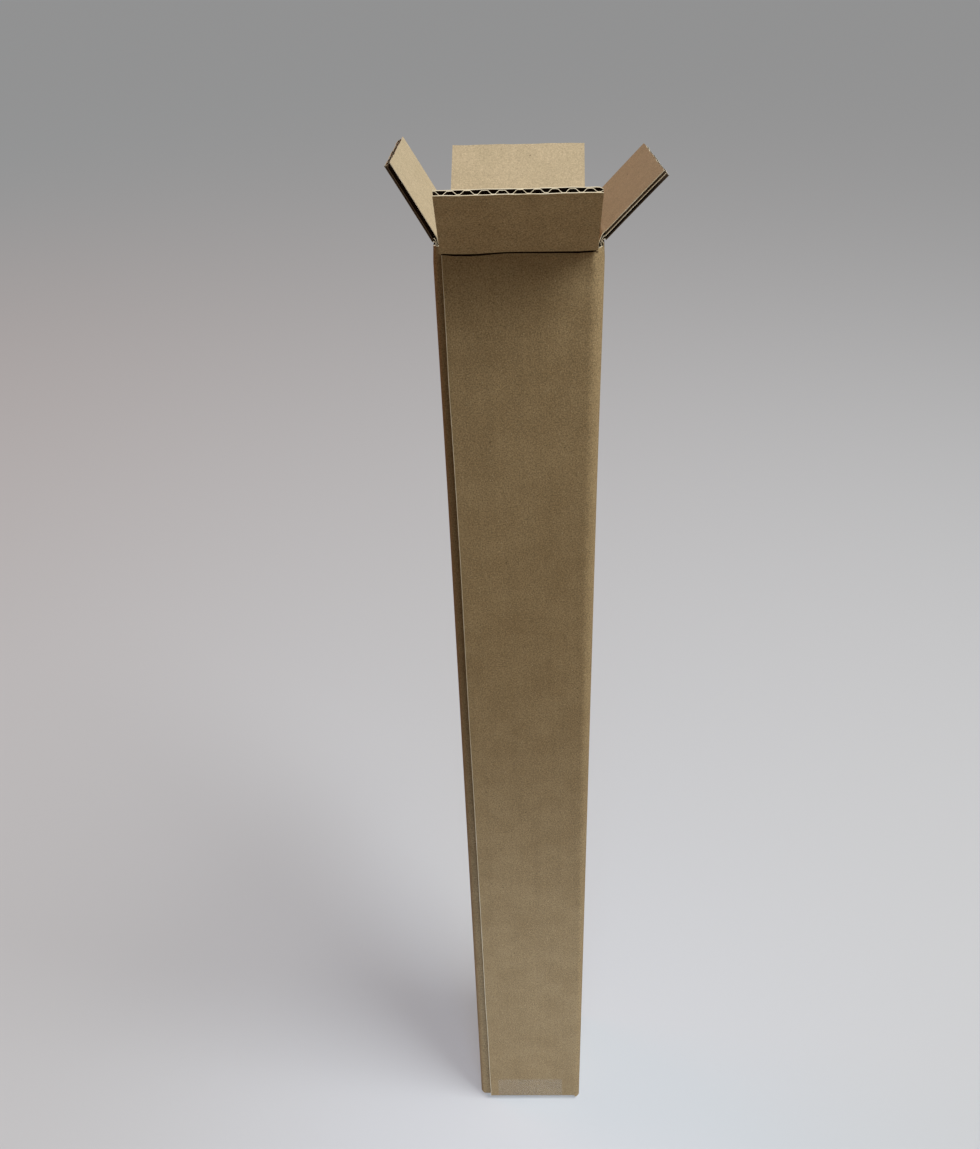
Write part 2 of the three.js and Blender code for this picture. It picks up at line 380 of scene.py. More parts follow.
@dataclass
class Sheets:
    """Gathers closed slabs of paper into one mesh.

    Attributes:
        points: the vertices so far, in millimetres.
        faces: the faces so far, as vertex numbers.
        skins: each face's material slot.
        count: how many vertices there are so far.
    """

    points: list[Array] = field(default_factory=list)
    faces: list[tuple[int, ...]] = field(default_factory=list)
    skins: list[int] = field(default_factory=list)
    count: int = 0

    def add_slab(self, near: Array, far: Array, cells: Array | None, skins: tuple[Skin, Skin, Skin],
                 side: Skin = Skin.CUT, edge_column: bool = False) -> None:
        """Adds the closed slab between two skins of a lattice.

        Args:
            near: the outer skin's points, by row and column.
            far: the inner skin's points, by row and column.
            cells: which cells of the lattice exist, or None for all of them.
            skins: what the outer skin, the inner skin and the cut edges show.
            side: what the cut edges along the flutes show.
            edge_column: whether the first column shows as a torn edge too.
        """
        rows, columns = near.shape[:2]
        if cells is None:
            cells = np.ones((rows - 1, columns - 1), bool)
        padded = np.pad(cells, 1)
        size = rows * columns
        ids = np.arange(size).reshape(rows, columns)
        base = self.count
        outer, inner, cut = (skin.value for skin in skins)
        for i, j in zip(*np.nonzero(cells)):
            a, b, c, d = ids[i, j], ids[i, j + 1], ids[i + 1, j + 1], ids[i + 1, j]
            self.faces.append(tuple(base + k for k in (a, b, c, d)))
            self.faces.append(tuple(base + size + k for k in (d, c, b, a)))
            self.skins += [cut if edge_column and j == 0 else outer, inner]
            sides = (
                ((a, b), padded[i, j + 1], cut), ((b, c), padded[i + 1, j + 2], side.value),
                ((c, d), padded[i + 2, j + 1], cut), ((d, a), padded[i + 1, j], side.value),
            )
            for (p, q), neighbour, shown in sides:
                if not neighbour:
                    rim = (base + q, base + p, base + size + p, base + size + q)
                    self.faces.append(tuple(int(k) for k in rim))
                    self.skins.append(shown)
        self.points += [near.reshape(-1, 3), far.reshape(-1, 3)]
        self.count += 2 * size

    def add_sheet(self, points: Array, faces: list[tuple[int, ...]], fold: Callable[[Array], Array],
                  side: Skin = Skin.CUT) -> None:
        """Adds a closed flat sheet of the wavy paper, folded to its place.

        Args:
            points: the flat sheet's points.
            faces: its faces, as point numbers.
            fold: gives the folded place of each flat point.
            side: what its cut edges along the flutes show.
        """
        self.faces += [tuple(self.count + k for k in face) for face in faces]
        across, along = points[:, 0], points[:, 1]
        at_side = (across < across.min() + EDGE_SLACK) | (across > across.max() - EDGE_SLACK)
        at_end = (along < EDGE_SLACK) | (along > 1 - EDGE_SLACK)
        for face in map(list, faces):
            # painted shade: all faces of the wavy paper except its cut ends take the dark flute
            # paper, as the shade between the liners
            ending = Skin.CUT if at_end[face].all() else Skin.SHADED_FLUTE
            self.skins.append((side if at_side[face].all() else ending).value)
        self.points.append(fold(points))
        self.count += len(points)

    def build(self, name: str, finishes: BoardFinishes | None) -> bpy.types.Object:
        """Makes the object, at the origin and in metres.

        Args:
            name: the object's name.
            finishes: the papers to dress it in, or None to leave it bare.

        Returns:
            The finished object.
        """
        points = np.concatenate(self.points) * MM
        used = np.unique(np.concatenate([np.array(f, int) for f in self.faces]))
        index = np.full(len(points), -1)
        index[used] = np.arange(len(used))
        mesh = bpy.data.meshes.new(name)
        faces = [tuple(int(index[k]) for k in f) for f in self.faces]
        mesh.from_pydata(points[used].tolist(), [], faces)
        if finishes:
            finishes.dress(mesh)
        mesh.polygons.foreach_set("material_index", self.skins)
        outward = bmesh.new()
        outward.from_mesh(mesh)
        bmesh.ops.recalc_face_normals(outward, faces=outward.faces)
        outward.to_mesh(mesh)
        outward.free()
        mesh.shade_smooth()
        mesh.set_sharp_from_angle(angle=SHARP_ANGLE)
        return put(name, mesh)


class FlutedMedium:
    """The wavy paper, made flat by Geometry Nodes before it is folded with the liners."""

    def __init__(self, board: Board, paper: bpy.types.Material) -> None:
        """Builds the node group.

        Args:
            board: the board that the paper fills.
            paper: its material.
        """
        self.board = board
        self.paper = paper
        self.group = bpy.data.node_groups.new("fluted_medium", "GeometryNodeTree")
        sheet = self.group.interface
        sheet.new_socket("Geometry", in_out="OUTPUT", socket_type="NodeSocketGeometry")
        kinds = dict.fromkeys(("Start", "Width", "Pitch", "Steepness", "Shift", "Middle", "Swing",
                               "Thickness"), "NodeSocketFloat")
        kinds |= dict.fromkeys(("Columns", "Rows"), "NodeSocketInt")
        kinds["Paper"] = "NodeSocketMaterial"
        self.sockets = {
            name: sheet.new_socket(name, in_out="INPUT", socket_type=kind).identifier
            for name, kind in kinds.items()
        }
        self.connect()

    def connect(self) -> None:
        """Adds and links the nodes: a grid, its wave, its thickness and its paper."""
        tree = self.group
        given = add(tree, "NodeGroupInput").outputs
        grid = add(tree, "GeometryNodeMeshGrid", {}, {
            "Size X": given["Width"], "Size Y": 1.0,
            "Vertices X": given["Columns"], "Vertices Y": given["Rows"],
        })
        place = add(tree, "ShaderNodeSeparateXYZ", {}, {
            0: add(tree, "GeometryNodeInputPosition").outputs[0],
        }).outputs
        half = maths(tree, "MULTIPLY", given["Width"], 0.5)
        across = maths(tree, "ADD", maths(tree, "ADD", place[0], half), given["Start"])
        turn = maths(tree, "DIVIDE", across, given["Pitch"])
        fold = maths(tree, "PINGPONG", turn, 0.5)
        steep = maths(tree, "MULTIPLY_ADD", fold, given["Steepness"], given["Shift"])
        wave = maths(tree, "MAXIMUM", maths(tree, "MINIMUM", steep, 1.0), -1.0)
        depth = maths(tree, "MULTIPLY_ADD", wave, given["Swing"], given["Middle"])
        lower = maths(tree, "MULTIPLY_ADD", given["Thickness"], -0.5, depth)
        moved = add(tree, "GeometryNodeSetPosition", {}, {
            "Geometry": grid.outputs[0],
            "Position": add(tree, "ShaderNodeCombineXYZ", {}, {
                0: across, 1: maths(tree, "ADD", place[1], 0.5), 2: lower,
            }).outputs[0],
        }).outputs[0]
        raised = add(tree, "GeometryNodeExtrudeMesh", {}, {
            "Mesh": moved, "Individual": False, "Offset Scale": given["Thickness"],
            "Offset": add(tree, "ShaderNodeCombineXYZ", {}, {2: 1.0}).outputs[0],
        }).outputs[0]
        under = add(tree, "GeometryNodeFlipFaces", {}, {0: moved}).outputs[0]
        both = add(tree, "GeometryNodeJoinGeometry")
        for part in (raised, under):
            tree.links.new(part, both.inputs[0])
        closed = add(tree, "GeometryNodeMergeByDistance", {}, {
            "Geometry": both.outputs[0], "Distance": 0.001,
        }).outputs[0]
        real = add(tree, "GeometryNodeRealizeInstances", {}, {0: closed}).outputs[0]
        papered = add(tree, "GeometryNodeSetMaterial", {}, {
            "Geometry": real, "Material": given["Paper"],
        }).outputs[0]
        add(tree, "NodeGroupOutput", {}, {0: papered})

    def sheet(self, start: float, end: float, rows: int) -> tuple[Array, list]:
        """Makes one flat closed sheet of the wavy paper.

        Args:
            start: where it begins across the flutes.
            end: where it ends across the flutes.
            rows: how many points it has along the flutes.

        Returns:
            Its points (across, 0 to 1 along, depth) and its faces as point numbers.
        """
        board = self.board
        slope = 1 / (1 - board.crest - board.valley)
        values = {
            "Start": start, "Width": end - start, "Pitch": board.pitch,
            "Steepness": 4 * slope, "Shift": 1 - 2 * slope * (1 - board.crest),
            "Middle": board.thickness / 2,
            "Swing": (board.thickness - board.medium) / 2 - board.liner,
            "Thickness": board.medium,
            "Columns": max(2, round((end - start) / board.pitch * board.steps) + 1),
            "Rows": rows, "Paper": self.paper,
        }
        flat = put("flat_medium", bpy.data.meshes.new("flat_medium"))
        modifier = flat.modifiers.new("fluting", "NODES")
        modifier.node_group = self.group
        for name, value in values.items():
            modifier[self.sockets[name]] = value
        graph = bpy.context.evaluated_depsgraph_get()
        mesh = bpy.data.meshes.new_from_object(flat.evaluated_get(graph))
        points = np.empty(3 * len(mesh.vertices))
        mesh.vertices.foreach_get("co", points)
        faces = [tuple(polygon.vertices) for polygon in mesh.polygons]
        flat.modifiers.clear()
        bpy.data.objects.remove(flat)
        bpy.data.meshes.remove(mesh)
        return points.reshape(-1, 3), faces


def smooth(value: Array | float) -> Array:
    """Eases a value from 0 to 1 with no slope at either end."""
    t = np.clip(value, 0, 1)
    return t * t * (3 - 2 * t)


@dataclass(frozen=True)
class Wall:
    """One wall of the tube and the span of the flaps on it.

    Attributes:
        start: its distance along the unfolded blank.
        origin: its first corner in plan, on the outer face.
        along: the way the distance grows, in plan.
        outward: the way it faces, in plan.
        low: where its flaps begin along the blank.
        high: where its flaps end along the blank.
        crease: the height of its top crease.
        floor: the height of its bottom flap's outer face.
        wander: where its hand-bent top crease strays to, as (along the wall, up) pairs.
    """

    start: float
    origin: Pair
    along: Pair
    outward: Pair
    low: float
    high: float
    crease: float
    floor: float
    wander: tuple[Pair, ...] = ((0, 0.1), (18, -0.12), (40, 0.15), (60, -0.05))

    def stray(self, distance: Array) -> Array:
        """Gives how far the top crease strays up from its straight line."""
        along, up = zip(*self.wander)
        return np.interp(distance - self.start, along, up)

    def plan(self, distance: Array, depth: Array) -> Array:
        """Gives places in plan on the flat wall, or behind it."""
        along = (distance - self.start)[..., None] * np.array(self.along)
        return np.array(self.origin) + along - depth[..., None] * np.array(self.outward)

    def solid(self, plan: Array, height: Array) -> Array:
        """Joins places in plan with their heights."""
        return np.concatenate([plan, height[..., None]], axis=-1)


@dataclass
class Blank:
    """The folded blank: where each place of the flat blank lies in the standing box.

    Attributes:
        width: the box's outer width and depth.
        crease: the height of the front and back creases.
        side_crease: the height of the left and right creases.
        board: the board it is cut from.
        radius: the outer radius of the folds.
        soft_radius: the crushed front right fold's radius at its top.
        crease_gap: how far the full board stays from a crease line.
        groove: half the width of the crushed line on the outside of a crease.
        slot: how far each flap stays in from its corner.
        near_slot: the same at the right flap's front end.
        narrow_slot: the same at both ends of the back flap.
        raw_edge: where the front wall begins, at its top and at its bottom.
        ripples: the raw edge's ripples, each as its size, its span and its start.
        ripple_fade: how far below the crease they fade out.
        tab: the glue tab's length.
        tab_gaps: how far it begins past the fold, at its top, and past the raw edge, at its foot.
        tab_top: the height of the glue tab's upper end.
        tab_bottom: the height of its lower end.
        inner_floor: the height of the inner bottom flaps' outer faces.
        outer_floor: the height of the outer bottom flaps' outer faces.
        bottom_reach: how far each bottom flap reaches in from its fold.
        foot_radius: the outer radius of the bottom folds.
        slot_floors: how far above the front crease the slots between the top flaps end, as
            (along the blank, up) pairs.
        spread: how far the open top has spread, as a share of the width.
        spread_from: the height at which the spreading begins.
        held_side: where the side creases' hold on the board begins, out from the middle.
        held_width: how far out from there it is full.
        held_height: how far below the side creases it begins.
        crumple: how far the board is pushed out below the front crease's right end.
        crumple_place: where that is, along the blank and up.
        crumple_size: how far it reaches, along and up.
        edge_reach: how far from the raw edge the wall's columns follow its slant.
        least_radius: the smallest radius inside a fold.
        front_wander: where the front crease strays to.
    """

    width: float
    crease: float
    side_crease: float
    board: Board
    radius: float = 3.5
    soft_radius: float = 6.5
    crease_gap: float = 0.2
    groove: float = 0.5
    slot: float = 3.2
    near_slot: float = 2.9
    narrow_slot: float = 4.3
    raw_edge: Pair = (3.8, 6.8)
    ripples: tuple[tuple[float, float, float], ...] = ((0.14, 31.0, 0.0), (0.09, 11.3, 1.0))
    ripple_fade: float = 40.0
    tab: float = 30.0
    tab_gaps: Pair = (0.4, 0.7)
    tab_top: float = 595.9
    tab_bottom: float = 7.82
    inner_floor: float = 3.32
    outer_floor: float = 0.12
    bottom_reach: float = 34.5
    foot_radius: float = 2.4
    slot_floors: tuple[Pair, ...] = (
        (0, 0.0), (66, 0.9), (74, 1.3), (140, 1.6), (210, 1.6), (273, 2.6), (278, 2.9),
    )
    spread: float = 0.012
    spread_from: float = 470.0
    held_side: float = 30.0
    held_width: float = 4.9
    held_height: float = 8.0
    crumple: float = 0.7
    crumple_place: Pair = (65.5, 595.5)
    crumple_size: Pair = (2.2, 3.0)
    edge_reach: float = 12.0
    least_radius: float = 0.25
    front_wander: tuple[Pair, ...] = (
        (3, 0.5), (6, 0.4), (9, 0.0), (15, -0.2), (20, -0.05), (25, 0.35), (30, 0.62),
        (37, 0.5), (46, 0.28), (53, 0.12), (59, -0.05), (63, 0.2), (67, 0.3),
    )

    def __post_init__(self) -> None:
        """Lays out the four walls and the tab around the box."""
        w, half, back = self.width, self.width / 2, self.board.thickness
        left_length = w - back
        self.front = Wall(0, (-half, -half), (1, 0), (0, -1), self.slot, w - self.slot,
                          self.crease, self.inner_floor, self.front_wander)
        self.right = Wall(w, (half, -half), (0, 1), (1, 0), w + self.near_slot,
                          2 * w - self.slot, self.side_crease, self.outer_floor)
        self.back = Wall(2 * w, (half, half), (-1, 0), (0, 1), 2 * w + self.narrow_slot,
                         3 * w - self.narrow_slot, self.crease, self.inner_floor)
        self.left = Wall(3 * w, (-half, half), (0, -1), (-1, 0), 3 * w + self.slot,
                         3 * w + left_length - self.slot, self.side_crease, self.outer_floor)
        self.seam = Wall(3 * w + left_length, (-half, back - half), (1, 0), (0, -1), 0, 0,
                         self.tab_top, self.tab_bottom)
        self.walls = (self.front, self.right, self.back, self.left)
        self.tab_start = self.seam.start + self.radius + self.tab_gaps[0]
        self.tab_foot = self.seam.start + self.raw_edge[1] + self.tab_gaps[1]
        self.end = self.seam.start + self.tab

    def clearance(self, depth: Array | float) -> Array | float:
        """Gives how far the full board stays from a crease line at a depth below its face."""
        gap = np.where(depth <= self.board.liner, self.groove, self.crease_gap)
        return gap + depth

    def edge(self, height: Array) -> Array:
        """Gives where the front wall's slanting, rippled raw edge is along the blank.

        Args:
            height: above the floor.

        Returns:
            The edge's places along the blank.
        """
        top, bottom = self.raw_edge
        share = np.clip(height / self.crease, 0, 1)
        ripple = sum(size * np.sin(height / span + start) for size, span, start in self.ripples)
        fade = np.clip((self.crease - height) / self.ripple_fade, 0, 1)
        return bottom + (top - bottom) * share + ripple * fade

    def trimmed(self, distance: Array, height: Array) -> Array:
        """Moves places near the front wall's raw edge along with its slant.

        Args:
            distance: along the blank.
            height: above the floor.

        Returns:
            The moved places along the blank.
        """
        shift = self.edge(height) - self.raw_edge[0]
        fade = 1 - smooth((distance - self.raw_edge[0]) / self.edge_reach)
        return distance + shift * fade * (distance < self.width / 2)

    def plan(self, distance: Array, height: Array, depth: Array) -> Array:
        """Folds places of the four walls and the tab around the box, in plan.

        Args:
            distance: along the blank.
            height: above the floor.
            depth: below the board's outer face.

        Returns:
            The places in plan.
        """
        distance = self.trimmed(distance, height)
        result = np.zeros(distance.shape + (2,))
        chain = (*self.walls, self.seam)
        for wall in chain:
            part = distance >= wall.start
            result[part] = wall.plan(distance, depth)[part]
        part = distance < self.right.start
        result[part] = self.front.plan(distance, depth)[part]
        for before, after in zip(chain, chain[1:]):
            radius = np.full(distance.shape, self.radius)
            if after is self.right:
                radius += (self.soft_radius - self.radius) * smooth(height / self.crease)
            turn = (distance - after.start + radius) / (2 * radius) * QUARTER
            inner = np.maximum(radius - depth, self.least_radius)
            centre = (np.array(after.origin) - radius[..., None] * np.array(before.along)
                      - radius[..., None] * np.array(before.outward))
            arc = centre + (inner * np.cos(turn))[..., None] * np.array(before.outward)
            arc = arc + (inner * np.sin(turn))[..., None] * np.array(before.along)
            bent = np.abs(distance - after.start) < radius
            result[bent] = arc[bent]
        return result

    def upright(self, distance: Array, height: Array, depth: Array) -> Array:
        """Gives places on the standing walls, spread a little at the open top.

        Args:
            distance: along the blank.
            height: above the floor.
            depth: below the board's outer face.

        Returns:
            The places.
        """
        along, up = self.crumple_place
        wide, tall = self.crumple_size
        swell = np.exp(-((distance - along) / wide) ** 2 - ((height - up) / tall) ** 2)
        plan = self.plan(distance, height, depth)
        plan[..., 1] -= self.crumple * swell
        return self.settle(self.front.solid(plan, height))

    def settle(self, points: Array) -> Array:
        """Spreads the open end of the box sideways, though its side creases stay on their lines.

        Args:
            points: places in the box before it spreads.

        Returns:
            The places afterwards.
        """
        points = points.copy()
        x, z = points[..., 0], points[..., 2]
        opened = smooth((z - self.spread_from) / (self.crease - self.spread_from))
        held = smooth((np.abs(x) - self.held_side) / self.held_width)
        held = held * smooth((z - self.side_crease) / self.held_height + 1)
        points[..., 0] = x * (1 + self.spread * opened * (1 - held))
        return points

    def bottom_flap(self, wall: Wall, distance: Array, reach: Array, depth: Array) -> Array:
        """Gives places on a wall's closed bottom flap and its fold.

        Args:
            wall: the wall that the flap hangs on.
            distance: along the blank.
            reach: from the fold, upwards on the wall or, below zero, inwards on the flap.
            depth: below the board's outer face.

        Returns:
            The places.
        """
        r = self.foot_radius
        turn = np.clip((r - reach) / (2 * r), 0, 1) * QUARTER
        inner = r - depth
        behind = r - inner * np.cos(turn)
        height = wall.floor + r - inner * np.sin(turn)
        behind = np.where(reach < -r, -reach, behind)
        height = np.where(reach > r, wall.floor + reach, height)
        return wall.solid(wall.plan(self.trimmed(distance, height), behind), height)


@dataclass
class Carton:
    """The blank's standing part: four walls, the glue tab and the closed bottom flaps.

    Attributes:
        blank: the folded blank.
        medium: the maker of its wavy paper.
        finishes: its papers.
        grain: the distance between columns of the liners' meshes.
        rows: the heights of their rows between the tab's ends.
        flap_rows: the reaches of the bottom flaps' rows between their folds and free ends.
        fold_shares: where the bottom folds' rows lie, as shares of their radius.
        fold_columns: how many columns each upright fold has.
        margins: how far the even columns stay from a fold, from a slot and from the tab's end.
        seam_line: the width of the pale torn line along the raw edge.
        slit: the width of the cut between a bottom flap and the corner beside it.
    """

    blank: Blank
    medium: FlutedMedium
    finishes: BoardFinishes
    grain: float = 1.625
    rows: tuple[float, ...] = (593, 590, 586, 580, 566, 546, 520, 490, 450, 400, 350, 300, 250,
                               200, 150, 110, 80, 56, 38, 24, 14)
    flap_rows: Pair = (-12, -23)
    fold_shares: tuple[float, ...] = (1, 0.6, 0.2, -0.2, -0.6, -1)
    fold_columns: int = 19
    margins: tuple[float, float, float] = (0.6, 0.25, 0.5)
    seam_line: float = 0.28
    slit: float = 0.02

    def __post_init__(self) -> None:
        """Lists the heights of the rows, closer together near both ends."""
        blank = self.blank
        self.heights = [blank.tab_top, *self.rows, blank.tab_bottom]
        bends = [blank.foot_radius * share for share in self.fold_shares]
        self.fold_rows = [*bends, *self.flap_rows]

    def columns(self) -> Array:
        """Lists the columns of the liners: even ones, the folds, and both sides of each slot.

        Returns:
            The columns' places along the blank.
        """
        blank = self.blank
        from_fold, from_slot, from_end = self.margins
        marks = [blank.raw_edge[0], blank.raw_edge[0] + self.seam_line, blank.end]
        steps = np.arange(blank.raw_edge[0] + self.grain, blank.end - from_end, self.grain)
        folds = [wall.start for wall in (*blank.walls[1:], blank.seam)]
        near = np.abs(steps[:, None] - np.array(folds)).min(axis=1) < blank.soft_radius + from_fold
        marks += list(steps[~near])
        for fold in folds:
            reach = blank.soft_radius
            marks += list(fold + np.linspace(-reach, reach, self.fold_columns))
        for wall in blank.walls:
            for place in (wall.low, wall.high):
                marks = [m for m in marks if abs(m - place) > from_slot or m == marks[0]]
                marks += [place - self.slit / 2, place + self.slit / 2]
        columns = np.unique(np.round(marks, 4))
        return columns[columns >= blank.raw_edge[0]]

    def owners(self, columns: Array) -> list[Wall | None]:
        """Names the wall whose flaps each column is part of, or None at a corner."""
        return [next((w for w in self.blank.walls if w.low < c < w.high), None) for c in columns]

    def top(self, wall: Wall | None, distance: Array, depth: Array) -> Array:
        """Gives the height where the full board ends, mitred below a crease.

        Args:
            wall: the wall, or None at a corner.
            distance: along the blank.
            depth: below the board's outer face.

        Returns:
            The heights.
        """
        if wall is None:
            return self.blank.crease + np.interp(distance, *zip(*self.blank.slot_floors))
        return wall.crease - self.blank.clearance(depth) + wall.stray(distance)

    def skin(self, columns: Array, depth: float) -> Array:
        """Gives one face of a liner as a lattice of rows and columns.

        Args:
            columns: along the blank.
            depth: below the board's outer face.

        Returns:
            The lattice's points.
        """
        blank = self.blank
        owners = self.owners(columns)
        sides = np.array([o in (blank.left, blank.right) for o in owners])
        under = blank.crease - blank.crease_gap
        rows = []
        below = np.full(columns.shape, depth)
        ends = np.concatenate([
            self.top(o, columns[k:k + 1], below[k:k + 1]) for k, o in enumerate(owners)])
        for height in (ends, np.where(sides, under, ends), *self.heights):
            rows.append(blank.upright(columns, np.broadcast_to(height, columns.shape), below))
        for number, reach in enumerate((*self.fold_rows, -blank.bottom_reach)):
            row = blank.upright(columns, np.full(columns.shape, blank.inner_floor), below)
            for wall in blank.walls:
                part = np.array([o is wall for o in owners])
                places = blank.bottom_flap(wall, columns, np.full(columns.shape, reach), below)
                row[part] = places[part]
            rows.append(row)
        return np.array(rows)

    def cells(self, columns: Array) -> Array:
        """Marks the lattice's cells that are board.

        Args:
            columns: along the blank.

        Returns:
            Whether each cell is board, by row and column.
        """
        owners = self.owners(columns)
        middle = (columns[:-1] + columns[1:]) / 2
        flaps = np.array([o is not None for o in owners])
        flap = flaps[:-1] & flaps[1:]
        sides = np.array([o in (self.blank.left, self.blank.right) for o in owners])
        walls = middle < self.blank.tab_start
        rows = [sides[:-1] & sides[1:], walls]
        rows += [np.ones_like(walls)] * (len(self.heights) - 1)
        rows += [middle < self.blank.tab_foot]
        rows += [flap] * len(self.fold_rows)
        return np.array(rows)

    def add_medium(self, sheets: Sheets) -> None:
        """Adds the wavy paper in the walls, at the top, at the corners and in the bottom flaps.

        Args:
            sheets: the mesh to add to.
        """
        blank = self.blank
        top_down = np.array(self.heights)
        first = blank.raw_edge[0]

        def wall_rows(points: Array) -> Array:
            """Places a flat sheet's points in the walls."""
            heights = np.interp(points[:, 1], np.linspace(0, 1, len(top_down)), top_down)
            return blank.upright(points[:, 0], heights, points[:, 2])

        sheets.add_sheet(*self.medium.sheet(first, blank.end, len(top_down)), wall_rows)
        start = first
        for wall in blank.walls:
            low = max(wall.low, first)
            if low > start:
                self.add_ends(sheets, None, start, low)
            self.add_ends(sheets, wall, low, wall.high)
            start = wall.high
        self.add_ends(sheets, None, start, blank.tab_start)

    def add_ends(self, sheets: Sheets, wall: Wall | None, start: float, end: float) -> None:
        """Adds the wavy paper above and below the walls' full rows, for one span.

        Args:
            sheets: the mesh to add to.
            wall: the wall whose flaps the span carries, or None at a corner.
            start: where the span begins along the blank.
            end: where it ends.
        """
        blank = self.blank

        def rise(points: Array) -> Array:
            """Places a flat sheet's points above the walls' full rows.

            Args:
                points: the flat points.

            Returns:
                Their places.
            """
            top = self.top(wall, points[:, 0], points[:, 2])
            heights = blank.tab_top + (top - blank.tab_top) * points[:, 1]
            return blank.upright(points[:, 0], heights, points[:, 2])

        def fall(points: Array) -> Array:
            """Places a flat sheet's points below the walls' full rows.

            Args:
                points: the flat points.

            Returns:
                Their places.
            """
            if wall is None:
                drop = blank.tab_bottom - blank.inner_floor
                heights = blank.tab_bottom - drop * points[:, 1]
                return blank.upright(points[:, 0], heights, points[:, 2])
            rows = (blank.tab_bottom - wall.floor, *self.fold_rows, -blank.bottom_reach)
            reach = np.interp(points[:, 1], np.linspace(0, 1, len(rows)), rows)
            return blank.bottom_flap(wall, points[:, 0], reach, points[:, 2])

        sheets.add_sheet(*self.medium.sheet(start, end, 3), rise)
        count = 2 if wall is None else len(self.fold_rows) + 2
        sheets.add_sheet(*self.medium.sheet(start, end, count), fall)

    def build(self) -> bpy.types.Object:
        """Builds the carton and declares what it stands for.

        Returns:
            The carton's object.
        """
        columns = self.columns()
        cells = self.cells(columns)
        sheets = Sheets()
        board = self.blank.board
        # painted shade: each liner's face toward the wavy paper takes the dark flute paper, as the
        # shade inside the flutes
        papers = (
            (board.outer_liner, (Skin.OUTER, Skin.SHADED_FLUTE, Skin.CUT)),
            (board.inner_liner, (Skin.SHADED_FLUTE, Skin.INNER, Skin.CUT)),
        )
        for (near, far), skins in papers:
            sheets.add_slab(self.skin(columns, near), self.skin(columns, far), cells, skins,
                            edge_column=skins[0] is Skin.OUTER)
        self.add_medium(sheets)
        piece = sheets.build("folded_carton", self.finishes)
        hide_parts("carton_body")
        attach(piece, "carton")
        LOG.info("%s: %d faces", piece.name, len(piece.data.polygons))
        return piece


